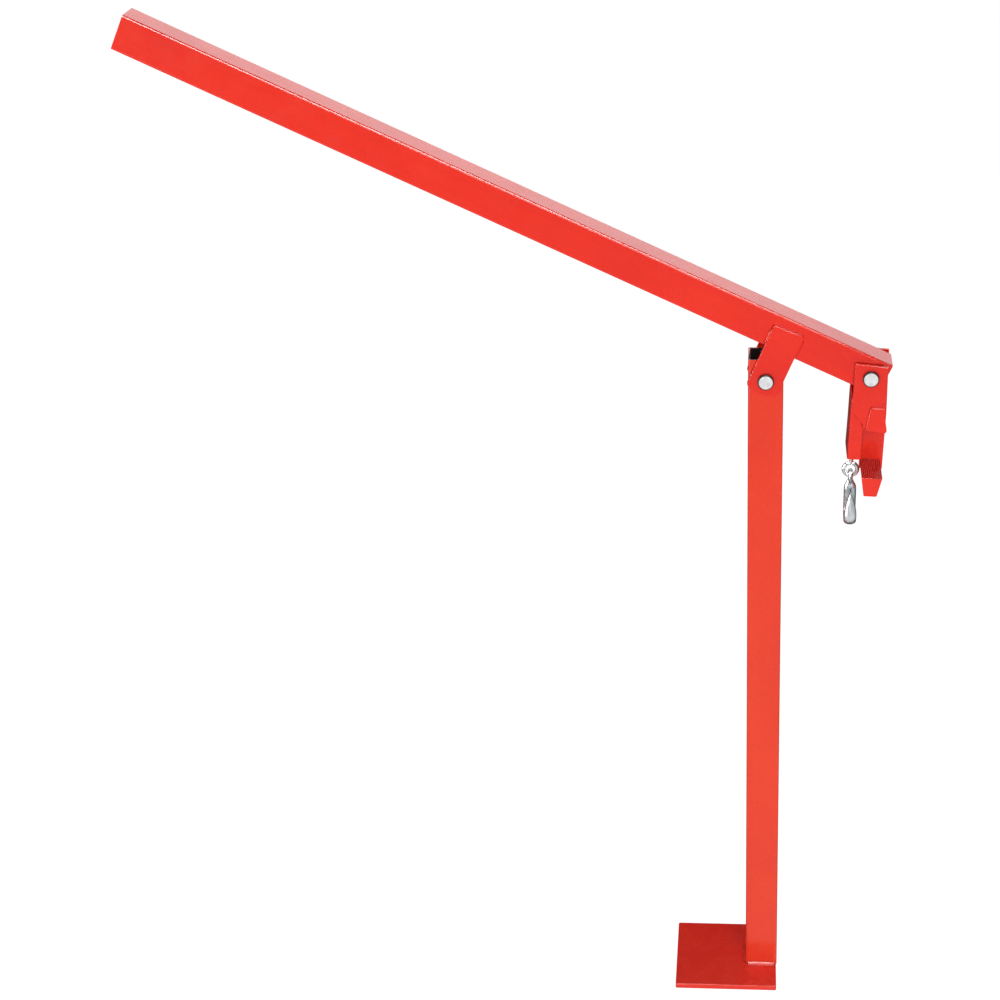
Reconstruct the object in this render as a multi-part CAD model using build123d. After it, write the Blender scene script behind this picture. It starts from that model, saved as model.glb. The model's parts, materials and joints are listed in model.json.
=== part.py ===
"""Lever-type fence post puller: base plate and post, long lever, hanging gripping jaw, chain hook.

Millimetres, +Z up. The origin is the centre of the underside of the base plate.
The lever's long arm rises towards -X, the jaw hangs on the +X side, the open front of the jaw faces -Y.
"""
import os
from math import cos, radians, sin

from build123d import *

# base plate and post
plate_size = 127.0
plate_thickness = 6.35
plate_corner = 2.0
plate_top_edge = 0.8
tube_size = 40.0
tube_wall = 2.5
tube_corner = 3.0
tube_inner_corner = 0.5
overall_post_height = 838.2
post_side_play = 0.25
post_overhang = 0.9
foot_weld_leg = 4.0
weld_bulge = 0.58

# lever
lever_length = 914.4
lever_short_arm = 118.8
lever_angle = 26.0
lever_above_pivot = 35.9
pivot_below_post_top = 23.8

# pivot plates welded to the lever
pivot_plate_width = 36.5
pivot_plate_thickness = 5.0
pivot_plate_top = 64.5
pivot_plate_bottom = 11.5
pivot_plate_bulge = 4.8
plate_edge = 0.7
pivot_plate_corner = 3.5
pivot_plate_lean = 3.0
pivot_weld_leg = 3.0
pivot_weld_inset = 3.0

# pins, washers and split pins
pin_diameter = 12.0
pin_play = 0.05
pin_head_diameter = 17.6
pin_head_thickness = 3.5
pin_head_edge = 0.8
pin_tail_chamfer = 1.2
pin_end_play = 0.4
washer_outer = 24.0
washer_play = 0.4
washer_thickness = 2.0
pin_tail = 11.0
split_pin_wire = 2.8
split_pin_play = 0.1
split_pin_loop = 3.4
split_pin_loop_lift = 1.2
split_pin_loop_thinner = 1.3
split_pin_offset = 4.2
split_pin_reach = 21.0
split_pin_foot = 7.5
split_pin_foot_width = 0.7
split_pin_foot_lift = 1.0
split_pin_spread = 118.0

# jaw
jaw_lean = 2.5
jaw_side_gap = 2.5
jaw_plate = 4.0
jaw_pin_from_end = 16.3
jaw_pin_drop = 1.45
cheek_left = 18.2
cheek_right = 18.3
cheek_top_left = 16.3
cheek_top_right = 13.6
cheek_cut_top = 39.8
cheek_cut_bottom = 55.4
cheek_cut_right = 5.4
cheek_bottom = 60.5
rear_cheek_top = 17.5
rear_cheek_top_slope = 1.0
rear_cheek_right_top = 21.5
rear_cheek_right_bottom = 24.2
rear_cheek_overlap = 11.5
jaw_weld_leg = 2.5
jaw_weld_run = 22.0
jaw_weld_inset = 2.0

# rectangular tube on the post side of the jaw, and its end plate
hook_tube_left = 19.6
hook_tube_width = 15.6
hook_tube_wall = 1.6
hook_tube_corner = 2.4
hook_tube_top = 26.0
hook_tube_bottom = 100.5
floor_thickness = 4.0

# lower grip
grip_left = -2.3
grip_top = 119.6
grip_height = 23.0
grip_width = 23.6
grip_nose_left = 3.9
grip_nose_right = 5.0
grip_nose_corner = 1.5
grip_ribs = 11
grip_rib_depth = 1.2
grip_rib_groove = 0.72

# upper tooth plate in front of the front cheek
tooth_thickness = 3.5
tooth_top = 34.3
tooth_bottom_left = 61.1
tooth_bottom_right = 64.1
tooth_left_top = 2.1
tooth_left_bottom = -2.2
tooth_step = 3.4
tooth_foot = 2.0
tooth_shoulder = 0.8
tooth_shoulder_above = 14.0
tooth_corner = 1.6

# eye bolt and hook
eye_outer_diameter = 20.0
eye_wire = 4.8
eye_below_floor = 22.0
eye_from_tube_left = 6.5
eye_stem_diameter = 5.0
eye_stem_above_floor = 8.0
eye_stem_chamfer = 1.0
eye_nut_flats = 8.0
eye_nut_height = 4.7
stem_play = 0.1
link_gap = 0.3
hook_eye_wire = 5.0
hook_eye_radius = 6.2
hook_width = 14.2
hook_thickness = 8.6
hook_bowl_radius = 11.5
hook_length = 65.6
hook_tip_below_ring = 22.4
hook_tip_flare = 1.6
hook_tip_width = 0.14
hook_tip_thickness = 0.35
hook_tip_taper = 1.7
hook_tip_steps = 6
hook_neck_width = 7.5
hook_shoulder = 9.0
hook_shoulder_shape = ((0.3, 0.74, 0.75), (0.65, 0.92, 0.92), (1.0, 0.99, 1.0))
hook_shank_steps = 5
hook_bowl_back = 0.6

# room left past a surface by a cutting tool
cut_over = 1.0

# derived sizes
post_size = tube_size - 2 * post_side_play
post_x = plate_size / 2 - post_size / 2 + post_overhang
pivot_z = overall_post_height - pivot_below_post_top
lever_axis_height = lever_above_pivot + tube_size / 2
pin_hole = pin_diameter + 2 * pin_play
jaw_pin_reach = lever_short_arm - jaw_pin_from_end
jaw_pin_height = lever_axis_height - jaw_pin_drop
lever_tilt = radians(lever_angle)
jaw_pin_x = post_x + jaw_pin_reach * cos(lever_tilt) + jaw_pin_height * sin(lever_tilt)
jaw_pin_z = pivot_z - jaw_pin_reach * sin(lever_tilt) + jaw_pin_height * cos(lever_tilt)
jaw_inner = tube_size / 2 + jaw_side_gap
jaw_outer = jaw_inner + jaw_plate
tooth_front = jaw_outer + tooth_thickness
pivot_outer = tube_size / 2 + pivot_plate_thickness
hook_tube_right = hook_tube_left - hook_tube_width
eye_x = eye_from_tube_left - hook_tube_left
eye_z = -hook_tube_bottom - eye_below_floor
eye_mean_radius = (eye_outer_diameter - eye_wire) / 2


STANDING = (Align.CENTER, Align.CENTER, Align.MIN)


def xz_prism(points, y_start, y_end):
    """Straight prism along Y from an outline given as (x, z) points."""
    outline = Polygon(*points, align=None)
    face = Plane.XZ * outline
    solid = extrude(face, amount=y_end - y_start, dir=(0, 1, 0))
    return Pos(0, y_start, 0) * solid


def y_cylinder(diameter, y_start, y_end, x=0.0, z=0.0):
    """Cylinder along Y between two Y positions."""
    body = Cylinder(diameter / 2, y_end - y_start, align=STANDING)
    return Pos(x, y_start, z) * Rot(-90, 0, 0) * body


def square_tube(size, wall, corner, length):
    """Square tube standing on the origin with rounded outer and inner corners."""
    outer = RectangleRounded(size, size, corner)
    inner = RectangleRounded(size - 2 * wall, size - 2 * wall, tube_inner_corner)
    return extrude(outer - inner, amount=length)


def in_lever(shape):
    """Place a shape drawn in the lever's own frame: origin at the pivot, +X towards the short end."""
    return Pos(post_x, 0, pivot_z) * Rot(0, lever_angle, 0) * shape


def in_jaw(shape):
    """Place a shape drawn in the jaw's own frame: origin at the jaw pin, +Z up along the jaw."""
    return Pos(jaw_pin_x, 0, jaw_pin_z) * Rot(0, jaw_lean, 0) * shape


def base_plate():
    """Square foot plate with broken vertical corners and a softened top edge."""
    plate = extrude(RectangleRounded(plate_size, plate_size, plate_corner), amount=plate_thickness)
    top_edges = plate.edges().group_by(Axis.Z)[-1]
    return fillet(top_edges, plate_top_edge)


def post_tube():
    """Upright post with a cross hole for the pivot pin."""
    post = Pos(post_x, 0, plate_thickness) * square_tube(
        post_size, tube_wall, tube_corner, overall_post_height - plate_thickness)
    return post - y_cylinder(pin_hole, -post_size, post_size, post_x, pivot_z)


def weld_bead(length, leg):
    """Fillet weld along +X from the origin, with its legs along +Y and +Z and a bulged face."""
    face = ThreePointArc((leg, 0), (leg * weld_bulge, leg * weld_bulge), (0, leg))
    profile = make_face(Line((0, 0), (leg, 0)) + face + Line((0, leg), (0, 0)))
    return extrude(Plane.YZ * profile, amount=length, dir=(1, 0, 0))


def foot_weld():
    """Weld beads at the foot of the post: front, rear and the side facing the long arm."""
    run = post_size - 2 * tube_corner
    half = post_size / 2
    beads = []
    for turn in (0, 180):
        bead = Pos(-run / 2, half, 0) * weld_bead(run, foot_weld_leg)
        beads.append(Pos(post_x, 0, plate_thickness) * Rot(0, 0, turn) * bead)
    side = Pos(-run / 2, half, 0) * weld_bead(run, foot_weld_leg)
    beads.append(Pos(post_x, 0, plate_thickness) * Rot(0, 0, 90) * side)
    return beads


def lever_tube():
    """Long square tube lying along the lever, drilled across for the jaw pin."""
    tube = square_tube(tube_size, tube_wall, tube_corner, lever_length)
    along = Pos(lever_short_arm, 0, lever_axis_height) * Rot(0, -90, 0) * tube
    hole = y_cylinder(pin_hole, -tube_size, tube_size, jaw_pin_reach, jaw_pin_height)
    return in_lever(along - hole)


def pivot_plate(side):
    """One of the two plates that hang from the lever and straddle the post; side is -1 front, +1 rear."""
    half = pivot_plate_width / 2
    outline = make_face(
        Line((-half, -pivot_plate_bottom), (-half, pivot_plate_top))
        + Line((-half, pivot_plate_top), (half, pivot_plate_top))
        + Line((half, pivot_plate_top), (half, -pivot_plate_bottom))
        + ThreePointArc((half, -pivot_plate_bottom),
                        (0, -pivot_plate_bottom - pivot_plate_bulge),
                        (-half, -pivot_plate_bottom)))
    outline = fillet(outline.vertices(), pivot_plate_corner)
    outline = outline - Circle(pin_hole / 2)
    start = tube_size / 2 if side > 0 else -pivot_outer
    plate = Pos(0, start, 0) * extrude(Plane.XZ * outline, amount=pivot_plate_thickness, dir=(0, 1, 0))
    plate = fillet(plate.edges().group_by(Axis.Y)[0 if side < 0 else -1], plate_edge)
    return in_lever(Rot(0, -pivot_plate_lean, 0) * plate)


def pivot_weld(side):
    """Weld beads down the two long edges of a pivot plate where it lies on the lever."""
    half = pivot_plate_width / 2
    start = lever_above_pivot + tube_corner + pivot_weld_inset
    run = pivot_plate_top - pivot_plate_corner - pivot_weld_inset - start
    beads = []
    for edge in (-1, 1):
        corner = Polyline((0, 0), (edge * pivot_weld_leg, 0), (0, side * pivot_weld_leg), close=True)
        bead = extrude(make_face(corner), amount=run)
        placed = Pos(edge * half, side * tube_size / 2, start) * bead
        beads.append(in_lever(Rot(0, -pivot_plate_lean, 0) * placed))
    return beads


def clevis_pin(outer):
    """Headed pin along Y, head at the front, with a cross hole in its tail for the split pin."""
    front = -outer - pin_end_play
    tail = outer + pin_end_play + washer_thickness + pin_tail
    head = y_cylinder(pin_head_diameter, front - pin_head_thickness, front)
    rim = head.edges().group_by(Axis.Y)[0]
    head = fillet(rim, pin_head_edge)
    shank = y_cylinder(pin_diameter, front, tail)
    shank = chamfer(shank.edges().group_by(Axis.Y)[-1], pin_tail_chamfer)
    cross_y = outer + pin_end_play + washer_thickness + split_pin_offset
    cross = Cylinder(split_pin_wire / 2 + split_pin_play, 2 * pin_diameter)
    return (head + shank) - Pos(0, cross_y, 0) * cross


def flat_washer(outer):
    """Plain washer on the tail of a pin."""
    start = outer + pin_end_play / 2
    ring = y_cylinder(washer_outer, start, start + washer_thickness)
    hole = y_cylinder(pin_diameter + 2 * washer_play, start - cut_over, start + washer_thickness + cut_over)
    return ring - hole


def split_pin(outer):
    """Split pin down through the pin's tail: round eye on top, two legs bent apart underneath."""
    cross_y = outer + pin_end_play + washer_thickness + split_pin_offset
    wire = split_pin_wire / 2
    loop_z = split_pin_reach / 2 + split_pin_loop_lift
    loop = Pos(0, 0, loop_z) * Rot(90, 0, 0) * Torus(split_pin_loop, wire / split_pin_loop_thinner)
    leg = Pos(0, 0, -split_pin_reach / 2) * Cylinder(wire, split_pin_reach, align=STANDING)
    body = loop + leg
    for turn in (-1, 1):
        foot = Cylinder(wire * split_pin_foot_width, split_pin_foot, align=STANDING)
        placed = Pos(0, 0, split_pin_foot_lift - split_pin_reach / 2)
        body = body + placed * Rot(0, turn * split_pin_spread, 0) * foot
    return Pos(0, cross_y, 0) * body


def at_pivot(shape):
    """Place a pin part, drawn about the Y axis, at the lever pivot."""
    return Pos(post_x, 0, pivot_z) * shape


def cheek_front():
    """Front cheek of the jaw, cut off diagonally at its lower left."""
    points = [(-cheek_left, -cheek_cut_top), (-cheek_left, cheek_top_left), (cheek_right, cheek_top_right),
              (cheek_right, -cheek_bottom), (-cheek_cut_right, -cheek_bottom),
              (-cheek_cut_right, -cheek_cut_bottom)]
    cheek = xz_prism(points, -jaw_outer, -jaw_inner)
    cheek = fillet(cheek.edges().group_by(Axis.Y)[0], plate_edge)
    hole = y_cylinder(pin_hole, -jaw_outer - cut_over, -jaw_inner + cut_over)
    return in_jaw(cheek - hole)


def cheek_rear():
    """Rear cheek of the jaw; it runs down behind the window to the back of the grip block."""
    foot = -grip_top - rear_cheek_overlap
    points = [(-hook_tube_left, -hook_tube_bottom), (-cheek_left, rear_cheek_top),
              (rear_cheek_right_top, rear_cheek_top - rear_cheek_top_slope),
              (rear_cheek_right_bottom, -cheek_bottom), (rear_cheek_right_bottom, foot),
              (grip_left, foot), (grip_left, -hook_tube_bottom)]
    cheek = xz_prism(points, jaw_inner, jaw_outer)
    cheek = fillet(cheek.edges().group_by(Axis.Y)[-1], plate_edge)
    hole = y_cylinder(pin_hole, jaw_inner - cut_over, jaw_outer + cut_over)
    return in_jaw(cheek - hole)


def hook_tube():
    """Rectangular tube standing between the cheeks on the post side."""
    depth = 2 * jaw_inner
    outer = RectangleRounded(hook_tube_width, depth, hook_tube_corner)
    inner = RectangleRounded(hook_tube_width - 2 * hook_tube_wall, depth - 2 * hook_tube_wall,
                             hook_tube_corner - hook_tube_wall)
    tube = extrude(outer - inner, amount=hook_tube_bottom - hook_tube_top)
    return in_jaw(Pos(hook_tube_width / 2 - hook_tube_left, 0, -hook_tube_bottom) * tube)


def hook_tube_floor():
    """End plate let into the bottom of the rectangular tube, drilled for the eye bolt."""
    floor = extrude(RectangleRounded(hook_tube_width - 2 * hook_tube_wall, 2 * (jaw_inner - hook_tube_wall),
                                     hook_tube_corner - hook_tube_wall), amount=floor_thickness)
    floor = Pos(hook_tube_width / 2 - hook_tube_left, 0, -hook_tube_bottom) * floor
    hole = Pos(eye_x, 0, -hook_tube_bottom) * Cylinder(eye_stem_diameter / 2 + stem_play, 4 * floor_thickness)
    return in_jaw(floor - hole)


def upper_tooth():
    """Thick tooth plate lying on the front cheek, its lower right corner standing out to one side."""
    side_z = tooth_shoulder_above - tooth_bottom_left
    outline = Polygon((tooth_left_top, -tooth_top), (cheek_right, -tooth_top),
                      (cheek_right + tooth_shoulder, side_z), (cheek_right + tooth_step, -tooth_bottom_left),
                      (cheek_right + tooth_foot, -tooth_bottom_right),
                      (tooth_left_bottom, -tooth_bottom_left), align=None)
    outline = fillet(outline.vertices(), tooth_corner)
    plate = extrude(Plane.XZ * outline, amount=tooth_thickness, dir=(0, 1, 0))
    plate = fillet(plate.edges().group_by(Axis.Y)[0], plate_edge)
    return in_jaw(Pos(0, -tooth_front, 0) * plate)


def grip_block():
    """Lower grip: a tapered nose extruded through the jaw with a ribbed upper face."""
    floor_z = -grip_top - grip_height
    grip_right = grip_left + grip_width
    outline = Polygon((grip_left, -grip_top), (grip_right, -grip_top),
                      (grip_right - grip_nose_right, floor_z), (grip_left + grip_nose_left, floor_z),
                      align=None)
    lower = outline.vertices().group_by(Axis.Y)[0]
    outline = fillet(lower, grip_nose_corner)
    nose = extrude(Plane.XZ * outline, amount=tooth_front + jaw_inner, dir=(0, 1, 0))
    nose = Pos(0, -tooth_front, 0) * nose
    nose = fillet(nose.edges().group_by(Axis.Y)[0], plate_edge)
    pitch = grip_width / grip_ribs
    half_groove = pitch * grip_rib_groove / 2
    slope_over = cut_over * half_groove / grip_rib_depth
    for number in range(grip_ribs):
        x = grip_left + pitch * (number + 0.5)
        groove = xz_prism([(x - half_groove - slope_over, cut_over - grip_top),
                           (x + half_groove + slope_over, cut_over - grip_top),
                           (x, -grip_top - grip_rib_depth)], -tooth_front - cut_over, jaw_inner + cut_over)
        nose = nose - groove
    return in_jaw(nose)


def jaw_weld():
    """Weld beads of the jaw: tube to both cheeks, and rear cheek to the back of the grip."""
    beads = []
    upper = -hook_tube_top - jaw_weld_run - jaw_weld_inset
    for side, foot in ((1, -cheek_bottom - jaw_weld_run), (1, upper), (-1, upper)):
        corner = Polyline((0, 0), (jaw_weld_leg, 0), (0, -side * jaw_weld_leg), close=True)
        bead = extrude(make_face(corner), amount=jaw_weld_run)
        beads.append(in_jaw(Pos(-hook_tube_right, side * jaw_inner, foot) * bead))
    under = Plane.YZ * make_face(Polyline((0, 0), (jaw_weld_leg, 0), (0, -jaw_weld_leg), close=True))
    run = grip_width - grip_nose_left - grip_nose_right - 2 * jaw_weld_inset
    under = extrude(under, amount=run, dir=(1, 0, 0))
    start = grip_left + grip_nose_left + jaw_weld_inset
    beads.append(in_jaw(Pos(start, jaw_inner, -grip_top - rear_cheek_overlap) * under))
    return beads


def eye_bolt():
    """Eye bolt hanging through the floor plate: stem upwards, ring below."""
    ring = Pos(0, 0, eye_z) * Rot(90, 0, 0) * Torus(eye_mean_radius, eye_wire / 2)
    stem_top = -hook_tube_bottom + floor_thickness + eye_stem_above_floor
    stem_foot = eye_z + eye_mean_radius
    stem = Pos(0, 0, stem_foot) * Cylinder(eye_stem_diameter / 2, stem_top - stem_foot, align=STANDING)
    stem = chamfer(stem.edges().group_by(Axis.Z)[-1], eye_stem_chamfer)
    return in_jaw(Pos(eye_x, 0, 0) * (ring + stem))


def eye_nut():
    """Hexagon nut on the eye bolt inside the jaw."""
    seat = -hook_tube_bottom + floor_thickness
    nut = extrude(RegularPolygon(eye_nut_flats / 2, 6, major_radius=False), amount=eye_nut_height)
    nut = nut - Cylinder(eye_stem_diameter / 2, 4 * eye_nut_height)
    return in_jaw(Pos(eye_x, 0, seat) * Rot(0, 0, 30) * nut)


def eye_centre():
    """World position of the centre of the eye bolt's ring, as x and z."""
    lean = radians(jaw_lean)
    x = jaw_pin_x + eye_x * cos(lean) + eye_z * sin(lean)
    z = jaw_pin_z - eye_x * sin(lean) + eye_z * cos(lean)
    return x, z


def hook_section(y, z, tilt, width, thickness):
    """Oval section of the hook, standing across its path in the YZ plane."""
    oval = Ellipse(width / 2, thickness / 2)
    return Pos(0, y, z) * Rot(tilt, 0, 0) * oval


def chain_hook():
    """Forged hook: eye through the ring, wide shank behind, bowl and a tapering tip at the front."""
    eye_top = -eye_mean_radius + eye_wire / 2 + link_gap + hook_eye_wire / 2
    eye_mid = eye_top - hook_eye_radius
    eye = Pos(0, 0, eye_mid) * Rot(0, 90, 0) * Torus(hook_eye_radius, hook_eye_wire / 2)
    bowl_z = -hook_length + hook_thickness / 2 + hook_bowl_radius
    bowl_y = -hook_bowl_radius * hook_bowl_back
    neck_z = eye_mid - hook_eye_radius
    shank_y = bowl_y + hook_bowl_radius
    sections = [hook_section(0, neck_z + hook_eye_wire / 5, 0, hook_neck_width, hook_eye_wire)]
    for down, wide, thick in hook_shoulder_shape:
        z = neck_z - hook_shoulder * down
        sections.append(hook_section(0, z, 0, hook_width * wide, hook_thickness * thick))
    shoulder_z = neck_z - hook_shoulder
    for step in range(1, hook_shank_steps):
        down = step / hook_shank_steps
        z = shoulder_z + (bowl_z - shoulder_z) * down
        sections.append(hook_section(shank_y * down, z, 0, hook_width, hook_thickness))
    for angle in range(0, 181, 30):
        y = bowl_y + hook_bowl_radius * cos(radians(angle))
        z = bowl_z - hook_bowl_radius * sin(radians(angle))
        sections.append(hook_section(y, z, -angle, hook_width, hook_thickness))
    tip_y = bowl_y - hook_bowl_radius
    tip_length = -hook_tip_below_ring - bowl_z
    for step in range(1, hook_tip_steps + 1):
        along = step / hook_tip_steps
        narrowing = along ** hook_tip_taper
        wide = hook_width * (1 - (1 - hook_tip_width) * narrowing)
        thick = hook_thickness * (1 - (1 - hook_tip_thickness) * narrowing)
        y = tip_y - hook_tip_flare * along * along
        sections.append(hook_section(y, bowl_z + tip_length * along, -180, wide, thick))
    x, z = eye_centre()
    return Pos(x, 0, z) * (eye + loft(sections))


def save(shape, name):
    """Write one piece, or a group of alike pieces, to its own file."""
    if isinstance(shape, list):
        shape = Compound(children=shape)
    export_step(shape, "parts/" + name + ".step")


def main():
    os.makedirs("parts", exist_ok=True)
    save(base_plate(), "base_plate")
    save(foot_weld(), "foot_weld")
    save(post_tube(), "post_tube")
    save(lever_tube(), "lever_tube")
    save(pivot_plate(-1), "pivot_plate_front")
    save(pivot_plate(1), "pivot_plate_rear")
    save(pivot_weld(-1) + pivot_weld(1), "pivot_weld")
    save(at_pivot(clevis_pin(pivot_outer)), "pivot_pin")
    save(at_pivot(flat_washer(pivot_outer)), "pivot_washer")
    save(at_pivot(split_pin(pivot_outer)), "pivot_split_pin")
    save(in_jaw(clevis_pin(jaw_outer)), "jaw_pin")
    save(in_jaw(flat_washer(jaw_outer)), "jaw_washer")
    save(in_jaw(split_pin(jaw_outer)), "jaw_split_pin")
    save(cheek_front(), "jaw_cheek_front")
    save(cheek_rear(), "jaw_cheek_rear")
    save(hook_tube(), "hook_tube")
    save(hook_tube_floor(), "hook_tube_floor")
    save(upper_tooth(), "upper_tooth")
    save(grip_block(), "grip_block")
    save(jaw_weld(), "jaw_weld")
    save(eye_bolt(), "eye_bolt")
    save(eye_nut(), "eye_nut")
    save(chain_hook(), "chain_hook")


main()
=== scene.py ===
"""Fence post puller: glossy red powder coat on square tube and plate, bright zinc pins, ring and chain hook.

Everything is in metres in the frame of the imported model. +Z is up and the jaw opens towards -Y.
"""

import json
from math import cos, pi, radians, sin

import bmesh
import bpy
from mathutils import Matrix, Vector, noise


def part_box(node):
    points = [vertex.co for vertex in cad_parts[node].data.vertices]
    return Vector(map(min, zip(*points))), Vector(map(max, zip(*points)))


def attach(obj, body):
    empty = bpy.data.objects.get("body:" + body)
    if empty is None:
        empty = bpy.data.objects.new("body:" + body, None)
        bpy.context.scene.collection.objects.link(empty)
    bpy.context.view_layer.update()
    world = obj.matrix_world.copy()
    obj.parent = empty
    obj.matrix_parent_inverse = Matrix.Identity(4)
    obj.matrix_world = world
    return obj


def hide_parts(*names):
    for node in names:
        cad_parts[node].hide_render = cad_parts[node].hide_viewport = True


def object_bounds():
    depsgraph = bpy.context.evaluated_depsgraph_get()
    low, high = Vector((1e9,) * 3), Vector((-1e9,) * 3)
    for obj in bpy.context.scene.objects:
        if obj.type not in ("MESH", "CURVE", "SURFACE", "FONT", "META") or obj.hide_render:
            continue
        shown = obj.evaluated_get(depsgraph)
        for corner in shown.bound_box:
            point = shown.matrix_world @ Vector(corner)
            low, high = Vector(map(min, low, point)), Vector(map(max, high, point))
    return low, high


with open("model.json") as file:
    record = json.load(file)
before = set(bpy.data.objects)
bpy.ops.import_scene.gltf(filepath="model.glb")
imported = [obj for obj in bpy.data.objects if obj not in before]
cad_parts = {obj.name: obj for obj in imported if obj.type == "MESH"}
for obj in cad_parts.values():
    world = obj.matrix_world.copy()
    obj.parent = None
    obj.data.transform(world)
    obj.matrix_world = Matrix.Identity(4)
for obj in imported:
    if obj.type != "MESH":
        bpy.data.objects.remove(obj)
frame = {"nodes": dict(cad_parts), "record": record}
cad_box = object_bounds()

# camera: where it stands, where it points, and its lens
camera_place = (0.0282, -2.1652, 1.6861)
camera_yaw = radians(-5.84)
camera_pitch = radians(25.34)
camera_roll = radians(-2.24)
camera_lens = 74.21
camera_shift = -0.06
camera_sensor = 36.0

# sizes in metres
TUBE_WALL = 0.0025
PIN_RIM_SHADE_WIDTH = 0.0012
PIN_RIM_SHADE_BLEND = 0.0003
CREVICE_REACH = 0.004
WELD_VOXEL = 0.00045
FLOOR_HALF = 14.0

# directions
LEVER_TURN = radians(-26.0)
UPRIGHT_TURN = radians(90.0)
SHARP_ANGLE = radians(32.0)

# weld beads: node, ripple pitch, ripple height
WELDS = (
    ("foot_weld", 0.0021, 0.00035),
    ("pivot_weld", 0.0019, 0.00028),
    ("jaw_weld", 0.0019, 0.00025),
)
RIPPLE_LEVEL = 0.75
RIPPLE_ROUGH = 0.35
RIPPLE_ROUGH_SCALE = 700.0

# red paint, linear colour
RED_PLATE = (0.88, 0.018, 0.002)
RED_LEVER = (0.89, 0.018, 0.002)
RED_POST = (0.90, 0.040, 0.006)

record = frame["record"]
RED_NODES = {entry["node"] for entry in record["subparts"] if entry["material_slot"] == "red_paint"}
BODY_OF_NODE = {
    node: body
    for body, nodes in record["behaviour"]["bodies"].items()
    for node in nodes
}


# materials

def new_material(name):
    """Empty node material with a Principled shader; gives the material, its node tree and the shader."""
    material = bpy.data.materials.new(name)
    material.use_nodes = True
    tree = material.node_tree
    shader = tree.nodes["Principled BSDF"]
    return material, tree, shader


def add(tree, kind, **values):
    """Add a node and set its plain properties or its input sockets by name."""
    node = tree.nodes.new(kind)
    for key, value in values.items():
        if hasattr(node, key):
            setattr(node, key, value)
        else:
            node.inputs[key.replace("_", " ")].default_value = value
    return node


def object_coordinates(tree, stretch=(1.0, 1.0, 1.0), turn=(0.0, 0.0, 0.0)):
    """Object coordinates, turned first and stretched after."""
    place = tree.nodes.new("ShaderNodeTexCoord")
    turned = tree.nodes.new("ShaderNodeMapping")
    turned.inputs["Rotation"].default_value = turn
    stretched = tree.nodes.new("ShaderNodeMapping")
    stretched.inputs["Scale"].default_value = stretch
    tree.links.new(place.outputs["Object"], turned.inputs["Vector"])
    tree.links.new(turned.outputs["Vector"], stretched.inputs["Vector"])
    return stretched.outputs["Vector"]


def noise_value(tree, vector, scale, detail=3.0, roughness=0.5):
    """Noise at a scale per metre."""
    node = add(tree, "ShaderNodeTexNoise", Scale=scale, Detail=detail, Roughness=roughness)
    tree.links.new(vector, node.inputs["Vector"])
    return node.outputs["Fac"]


def ramp(tree, value, stops):
    """Colour ramp over (position, colour) stops."""
    node = tree.nodes.new("ShaderNodeValToRGB")
    tree.links.new(value, node.inputs["Fac"])
    elements = node.color_ramp.elements
    while len(elements) < len(stops):
        elements.new(0.5)
    for element, (position, colour) in zip(elements, stops):
        element.position = position
        element.color = colour
    return node.outputs["Color"]


def remap(tree, value, low, high, start=0.0, end=1.0):
    """Map a value from start..end to low..high."""
    node = add(tree, "ShaderNodeMapRange")
    node.inputs["From Min"].default_value = start
    node.inputs["From Max"].default_value = end
    node.inputs["To Min"].default_value = low
    node.inputs["To Max"].default_value = high
    tree.links.new(value, node.inputs["Value"])
    return node.outputs["Result"]


def bump(tree, height, strength, distance, normal=None):
    """Bump from a height."""
    node = add(tree, "ShaderNodeBump", Strength=strength, Distance=distance)
    tree.links.new(height, node.inputs["Height"])
    if normal is not None:
        tree.links.new(normal, node.inputs["Normal"])
    return node.outputs["Normal"]


def mix_colour(tree, factor, first, second, blend="MIX"):
    """Mix two colours, each a colour or a socket, by a factor socket or number."""
    node = tree.nodes.new("ShaderNodeMix")
    node.data_type = "RGBA"
    node.blend_type = blend
    for key, value in ((0, factor), (6, first), (7, second)):
        if isinstance(value, bpy.types.NodeSocket):
            tree.links.new(value, node.inputs[key])
        else:
            node.inputs[key].default_value = value
    return node.outputs[2]


def crevice_shade(tree, colour):
    """Darken a colour in the last millimetres of inside corners: painted shade where the corners lie in
    shadow.
    """
    hollow = tree.nodes.new("ShaderNodeAmbientOcclusion")
    hollow.samples = 8
    hollow.inputs["Distance"].default_value = CREVICE_REACH
    level = remap(tree, hollow.outputs["AO"], 0.50, 1.0, 0.40, 0.75)
    grey = add(tree, "ShaderNodeCombineColor")
    for channel in ("Red", "Green", "Blue"):
        tree.links.new(level, grey.inputs[channel])
    return mix_colour(tree, 1.0, colour, grey.outputs["Color"], "MULTIPLY")


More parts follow.
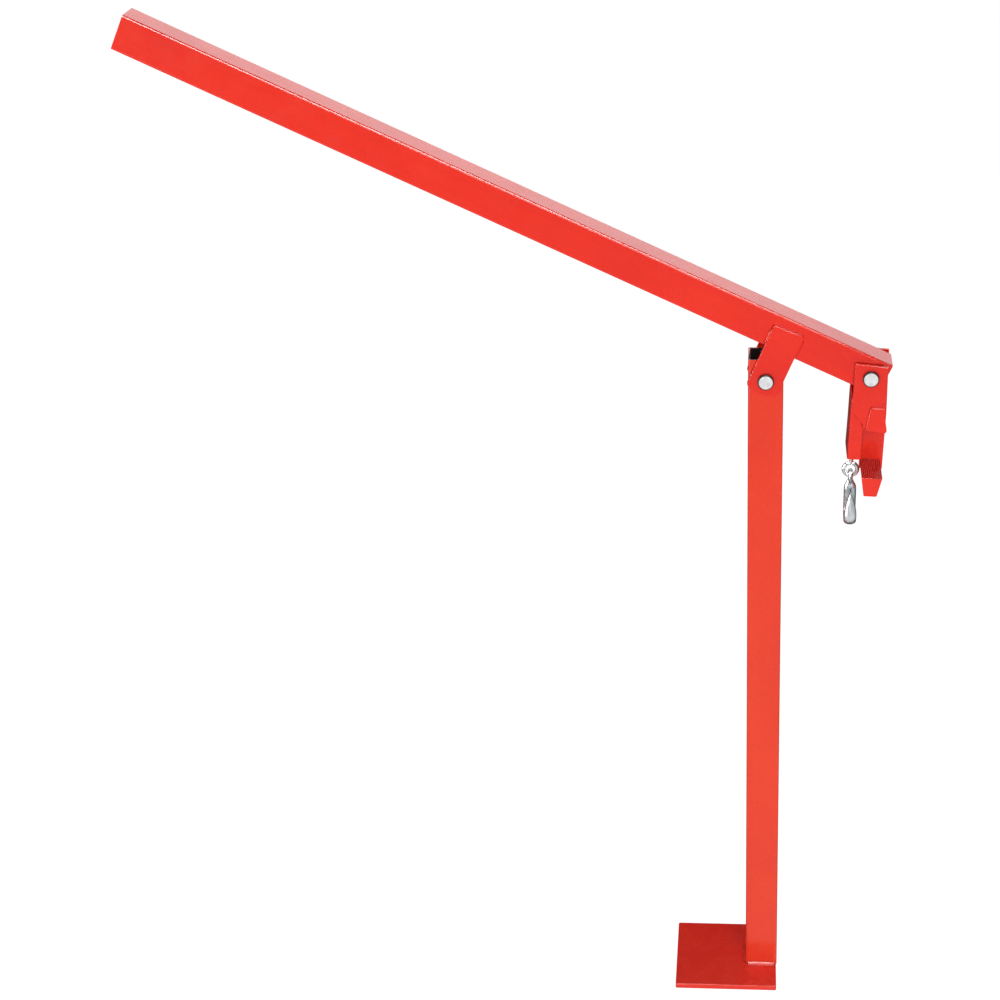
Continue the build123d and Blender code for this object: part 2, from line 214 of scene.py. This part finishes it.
def red_powder_coat(name, red, turn=None, bands=0.95):
    """Glossy red powder coat: fine orange peel, slow colour drift, smears that vary the gloss.

    With a turn it is a drawn tube: faint bands and lines run along the direction that the turn brings onto X,
    and its inside walls are dark bare steel (see dark_inside).
    """
    material, tree, shader = new_material(name)
    plain = object_coordinates(tree)
    drift = noise_value(tree, plain, 9.0, 4.0)
    deep = (red[0] * 0.93, red[1] * 0.75, red[2] * 0.8, 1)
    bright = (min(red[0] * 1.03, 1.0), red[1] * 1.25, red[2] * 1.2, 1)
    colour = ramp(tree, drift, [(0.30, deep), (0.55, (red[0], red[1], red[2], 1)), (0.75, bright)])
    smears = noise_value(tree, plain, 38.0, 5.0, 0.6)
    tree.links.new(remap(tree, smears, 0.22, 0.34, 0.35, 0.75), shader.inputs["Roughness"])
    peel = noise_value(tree, plain, 850.0, 2.0)
    normal = bump(tree, peel, 0.02, 0.0003)
    if turn is not None:
        broad = noise_value(tree, object_coordinates(tree, (0.8, 95.0, 95.0), (0.0, turn, 0.0)), 1.0, 2.0)
        fine = noise_value(tree, object_coordinates(tree, (3.0, 430.0, 430.0), (0.0, turn, 0.0)), 1.0, 2.0)
        shade_bands = ramp(tree, broad, [(0.38, (bands, bands, bands, 1)), (0.60, (1.0, 1.0, 1.0, 1))])
        colour = mix_colour(tree, 1.0, colour, shade_bands, "MULTIPLY")
        normal = bump(tree, broad, 0.10, 0.0009, normal)
        normal = bump(tree, fine, 0.03, 0.0003, normal)
    # painted shade in inside corners and where parts meet
    tree.links.new(crevice_shade(tree, colour), shader.inputs["Base Color"])
    tree.links.new(normal, shader.inputs["Normal"])
    shader.inputs["Specular IOR Level"].default_value = 0.2
    shader.inputs["Coat Weight"].default_value = 0.7
    shader.inputs["Coat Roughness"].default_value = 0.04
    return material


def bare_steel(name):
    """Dark mill-scaled steel of the unpainted inside of a tube: blotchy grey to brown, rough."""
    material, tree, shader = new_material(name)
    blotch = noise_value(tree, object_coordinates(tree), 70.0, 5.0, 0.6)
    colour = ramp(tree, blotch, [(0.30, (0.010, 0.008, 0.008, 1)), (0.60, (0.030, 0.022, 0.019, 1)),
                                 (0.80, (0.060, 0.035, 0.025, 1))])
    tree.links.new(colour, shader.inputs["Base Color"])
    tree.links.new(remap(tree, blotch, 0.45, 0.75, 0.3, 0.7), shader.inputs["Roughness"])
    tree.links.new(bump(tree, blotch, 0.25, 0.0005), shader.inputs["Normal"])
    shader.inputs["Metallic"].default_value = 0.6
    return material


def bright_zinc(name, tint=(0.86, 0.88, 0.88, 1), rough=0.22, clouding=0.25, rim_shade=None):
    """Bright zinc plate: clouded light grey with fine grain.

    The rim argument (x, z, radius) paints shade from that radius out: a dark ring standing for the shadowed
    gap round a pin head.
    """
    material, tree, shader = new_material(name)
    plain = object_coordinates(tree)
    cloud = noise_value(tree, plain, 240.0, 4.0, 0.6)
    dark = (tint[0] * (1 - clouding), tint[1] * (1 - clouding * 0.9), tint[2] * (1 - clouding * 0.8), 1)
    colour = ramp(tree, cloud, [(0.30, dark), (0.60, tint)])
    if rim_shade:
        away = add(tree, "ShaderNodeVectorMath", operation="SUBTRACT")
        away.inputs[1].default_value = (rim_shade[0], 0.0, rim_shade[1])
        flat = add(tree, "ShaderNodeVectorMath", operation="MULTIPLY")
        flat.inputs[1].default_value = (1.0, 0.0, 1.0)
        distance = add(tree, "ShaderNodeVectorMath", operation="LENGTH")
        tree.links.new(plain, away.inputs[0])
        tree.links.new(away.outputs["Vector"], flat.inputs[0])
        tree.links.new(flat.outputs["Vector"], distance.inputs[0])
        edge = remap(tree, distance.outputs["Value"], 0.0, 1.0, rim_shade[2], rim_shade[2] + PIN_RIM_SHADE_BLEND)
        # painted shade: a dark ring for the shadowed gap round the pin head
        colour = mix_colour(tree, edge, colour, (0.035, 0.030, 0.030, 1))
    tree.links.new(colour, shader.inputs["Base Color"])
    tree.links.new(remap(tree, cloud, rough, rough + 0.14, 0.35, 0.7), shader.inputs["Roughness"])
    grain = noise_value(tree, plain, 1800.0, 3.0)
    tree.links.new(bump(tree, grain, 0.08, 0.0002), shader.inputs["Normal"])
    shader.inputs["Metallic"].default_value = 1.0
    return material


def pin_material(node):
    """Zinc for a headed pin, with painted shade darkening the outer edge of its head."""
    low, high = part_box(node)
    head_radius = (high[0] - low[0]) / 2
    rim_shade = ((low[0] + high[0]) / 2, (low[2] + high[2]) / 2, head_radius - PIN_RIM_SHADE_WIDTH)
    return bright_zinc(node + "_zinc", (0.97, 0.98, 0.98, 1), rough=0.34, clouding=0.05, rim_shade=rim_shade)


def forged_zinc(name, node):
    """Zinc over a drop forging: bluish grey with streaks along its length, brighter at the front with a
    painted highlight on the tip.
    """
    material, tree, shader = new_material(name)
    low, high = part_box(node)
    plain = object_coordinates(tree)
    streak = noise_value(tree, object_coordinates(tree, (520.0, 520.0, 70.0)), 1.0, 4.0, 0.6)
    shank = ramp(tree, streak, [(0.34, (0.26, 0.32, 0.34, 1)), (0.52, (0.52, 0.60, 0.63, 1)),
                                (0.68, (0.74, 0.81, 0.84, 1))])
    lit_tip = ramp(tree, streak, [(0.34, (0.55, 0.60, 0.62, 1)), (0.55, (0.86, 0.90, 0.91, 1))])
    split = tree.nodes.new("ShaderNodeSeparateXYZ")
    tree.links.new(plain, split.inputs["Vector"])
    depth = high[1] - low[1]
    # painted highlight: the front part takes the lighter tip colour
    toward_back = remap(tree, split.outputs["Y"], 0.0, 1.0, low[1] + depth * 0.25, low[1] + depth * 0.45)
    tree.links.new(mix_colour(tree, toward_back, lit_tip, shank), shader.inputs["Base Color"])
    tree.links.new(remap(tree, streak, 0.26, 0.44, 0.3, 0.7), shader.inputs["Roughness"])
    tree.links.new(bump(tree, streak, 0.22, 0.0005), shader.inputs["Normal"])
    shader.inputs["Metallic"].default_value = 1.0
    return material


paint_plate = red_powder_coat("red_plate", RED_PLATE)
paint_lever = red_powder_coat("red_lever_tube", RED_LEVER, LEVER_TURN)
paint_post = red_powder_coat("red_post_tube", RED_POST, UPRIGHT_TURN, 0.975)
dark_steel = bare_steel("bare_steel")
zinc = bright_zinc("zinc_bright")
zinc_ring = bright_zinc("zinc_ring", rough=0.10)
zinc_forged = forged_zinc("zinc_forged", "chain_hook")

MATERIAL_OF_NODE = {
    "lever_tube": paint_lever, "post_tube": paint_post, "hook_tube": paint_lever,
    "chain_hook": zinc_forged, "eye_bolt": zinc_ring,
    "pivot_pin": pin_material("pivot_pin"), "jaw_pin": pin_material("jaw_pin"),
}


def dark_inside(node, axis):
    """Give a tube's inside faces the bare steel: those nearer its centre line than the middle of its wall."""
    low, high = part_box(node)
    inner_half = (high[1] - low[1]) / 2 - TUBE_WALL * 0.5
    centre = (Vector(low) + Vector(high)) / 2
    level = Vector((0.0, 1.0, 0.0))
    other = axis.cross(level)
    obj = frame["nodes"][node]
    obj.data.materials.append(dark_steel)
    for polygon in obj.data.polygons:
        away = polygon.center - centre
        across = away - axis * away.dot(axis)
        if abs(across.dot(level)) < inner_half and abs(across.dot(other)) < inner_half:
            polygon.material_index = 1


def shade(obj, material):
    """Give a mesh one material and smooth shading split at sharp edges."""
    obj.data.materials.clear()
    obj.data.materials.append(material)
    for polygon in obj.data.polygons:
        polygon.use_smooth = True
    obj.data.set_sharp_from_angle(angle=SHARP_ANGLE)


for name, obj in frame["nodes"].items():
    standard = paint_plate if name in RED_NODES else zinc
    shade(obj, MATERIAL_OF_NODE.get(name, standard))

dark_inside("post_tube", Vector((0.0, 0.0, 1.0)))
dark_inside("lever_tube", Vector((cos(LEVER_TURN), 0.0, sin(LEVER_TURN))))


# welds

def connected_verts(work):
    """The vertices of a mesh, in one list for each separate piece."""
    left = set(work.verts)
    for first in work.verts:
        if first not in left:
            continue
        left.remove(first)
        island, stack = [], [first]
        while stack:
            vert = stack.pop()
            island.append(vert)
            for edge in vert.link_edges:
                other = edge.other_vert(vert)
                if other in left:
                    left.remove(other)
                    stack.append(other)
        yield island


def weld_seam(node, pitch, height):
    """Rippled weld beads in place of a node's plain ones: remeshed finely, then pushed into waves."""
    source = frame["nodes"][node]
    mesh = source.data.copy()
    mesh.name = node + "_beads"
    obj = bpy.data.objects.new(node + "_beads", mesh)
    bpy.context.scene.collection.objects.link(obj)
    remesh = obj.modifiers.new("voxels", "REMESH")
    remesh.mode = "VOXEL"
    remesh.voxel_size = WELD_VOXEL
    evaluated = obj.evaluated_get(bpy.context.evaluated_depsgraph_get())
    fine = bpy.data.meshes.new_from_object(evaluated)
    obj.modifiers.clear()
    obj.data = fine
    work = bmesh.new()
    work.from_mesh(fine)
    work.normal_update()
    for island in connected_verts(work):
        ripple(island, pitch, height)
    bmesh.ops.smooth_vert(work, verts=work.verts, factor=0.5,
                          use_axis_x=True, use_axis_y=True, use_axis_z=True)
    work.to_mesh(fine)
    work.free()
    shade(obj, paint_plate)
    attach(obj, BODY_OF_NODE[node])
    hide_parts(node)


def ripple(verts, pitch, height):
    """Push a bead's vertices in and out in rounded waves along its longest direction."""
    middle = sum((vert.co for vert in verts), Vector()) / len(verts)
    far = max(verts, key=lambda vert: (vert.co - middle).length_squared).co
    along = (far - middle).normalized()
    for vert in verts:
        place = (vert.co - middle).dot(along)
        wave = abs(sin(pi * place / pitch)) - RIPPLE_LEVEL
        rough = noise.noise(vert.co * RIPPLE_ROUGH_SCALE) * RIPPLE_ROUGH
        vert.co += vert.normal * height * (wave + rough)


for weld_node, ripple_pitch, ripple_height in WELDS:
    weld_seam(weld_node, ripple_pitch, ripple_height)


# floor, light and camera

def studio_floor():
    """Pale floor, lit mostly by its own glow so that it stays pale far behind."""
    mesh = bpy.data.meshes.new("floor")
    half = FLOOR_HALF
    corners = [(-half, -half, 0), (half, -half, 0), (half, half, 0), (-half, half, 0)]
    mesh.from_pydata(corners, [], [(0, 1, 2, 3)])
    obj = bpy.data.objects.new("floor", mesh)
    bpy.context.scene.collection.objects.link(obj)
    material, tree, shader = new_material("floor_white")
    soft = noise_value(tree, object_coordinates(tree), 3.0)
    tree.links.new(ramp(tree, soft, [(0.3, (0.23, 0.23, 0.23, 1)), (0.7, (0.25, 0.25, 0.25, 1))]),
                   shader.inputs["Base Color"])
    shader.inputs["Roughness"].default_value = 0.9
    shader.inputs["Specular IOR Level"].default_value = 0.0
    shader.inputs["Emission Color"].default_value = (1.0, 1.0, 1.0, 1)
    shader.inputs["Emission Strength"].default_value = 0.96
    obj.data.materials.append(material)
    obj.visible_glossy = False


def studio_world():
    """Soft surroundings: grey overhead and in front, dark to the sides and low behind.

    The dark parts draw the outlines of paint and zinc darker, as flags around a product table do.
    """
    world = bpy.data.worlds.new("studio")
    bpy.context.scene.world = world
    world.use_nodes = True
    tree = world.node_tree
    direction = tree.nodes.new("ShaderNodeTexCoord")
    split = tree.nodes.new("ShaderNodeSeparateXYZ")
    tree.links.new(direction.outputs["Generated"], split.inputs["Vector"])
    aside = add(tree, "ShaderNodeMath", operation="ABSOLUTE")
    tree.links.new(split.outputs["X"], aside.inputs[0])
    overhead = remap(tree, aside.outputs["Value"], 0.34, 0.05, 0.30, 0.8)
    front = remap(tree, split.outputs["Z"], 0.75, 0.24, -0.5, -0.14)
    toward_back = remap(tree, split.outputs["Y"], 0.0, 1.0, -0.35, 0.25)
    upper = mix_colour(tree, toward_back, overhead, (0.10, 0.10, 0.10, 1))
    lower = mix_colour(tree, toward_back, front, (0.04, 0.04, 0.04, 1))
    above = remap(tree, split.outputs["Z"], 0.0, 1.0, -0.05, 0.10)
    level = mix_colour(tree, above, lower, upper)
    tree.links.new(level, tree.nodes["Background"].inputs["Color"])
    tree.nodes["Background"].inputs["Strength"].default_value = 1.0


def area_light(name, place, target, width, height, power, rays="both"):
    """Soft rectangular light aimed at a point, unseen by the camera; rays picks diffuse, glossy or both."""
    data = bpy.data.lights.new(name, "AREA")
    data.shape = "RECTANGLE"
    data.size = width
    data.size_y = height
    data.energy = power
    obj = bpy.data.objects.new(name, data)
    bpy.context.scene.collection.objects.link(obj)
    obj.location = place
    direction = Vector(target) - Vector(place)
    obj.rotation_euler = direction.to_track_quat("-Z", "Y").to_euler()
    obj.visible_camera = False
    obj.visible_diffuse = rays != "glossy"
    obj.visible_glossy = rays != "diffuse"


def photo_camera():
    """Camera standing in front, looking down at the tool."""
    data = bpy.data.cameras.new("camera")
    data.lens = camera_lens
    data.sensor_width = camera_sensor
    data.shift_x = camera_shift
    data.clip_end = 50.0
    obj = bpy.data.objects.new("camera", data)
    bpy.context.scene.collection.objects.link(obj)
    forward = Vector((
        sin(camera_yaw) * cos(camera_pitch),
        cos(camera_yaw) * cos(camera_pitch),
        -sin(camera_pitch),
    ))
    level_right = Vector((cos(camera_yaw), -sin(camera_yaw), 0.0))
    level_up = level_right.cross(forward)
    right = level_right * cos(camera_roll) + level_up * sin(camera_roll)
    up = level_up * cos(camera_roll) - level_right * sin(camera_roll)
    turn = Matrix((right, up, -forward)).transposed().to_4x4()
    obj.matrix_world = Matrix.Translation(camera_place) @ turn
    bpy.context.scene.camera = obj


studio_floor()
studio_world()
bpy.context.scene.view_settings.view_transform = "Standard"
centre = (Vector(cad_box[0]) + Vector(cad_box[1])) / 2
area_light("key_light", (0.5, -3.1, 2.0), centre, 1.7, 1.5, 41.0)
area_light("fill_light", (-2.0, -2.6, 1.2), centre, 1.4, 1.4, 8.0, "diffuse")
area_light("top_light", (0.0, -0.2, 3.2), centre, 1.5, 1.5, 17.0, "diffuse")
area_light("back_light", (-0.1, 1.0, 1.42), (-0.1, 0.0, 1.42), 2.3, 0.9, 8.0)
area_light("strip_above", (-0.1, -0.9, 2.6), (-0.3, 0.0, 1.0), 3.0, 0.9, 165.0, "glossy")
area_light("strip_left", (-1.9, -1.2, 0.9), (0.0, 0.0, 0.8), 0.7, 1.8, 60.0, "glossy")
photo_camera()
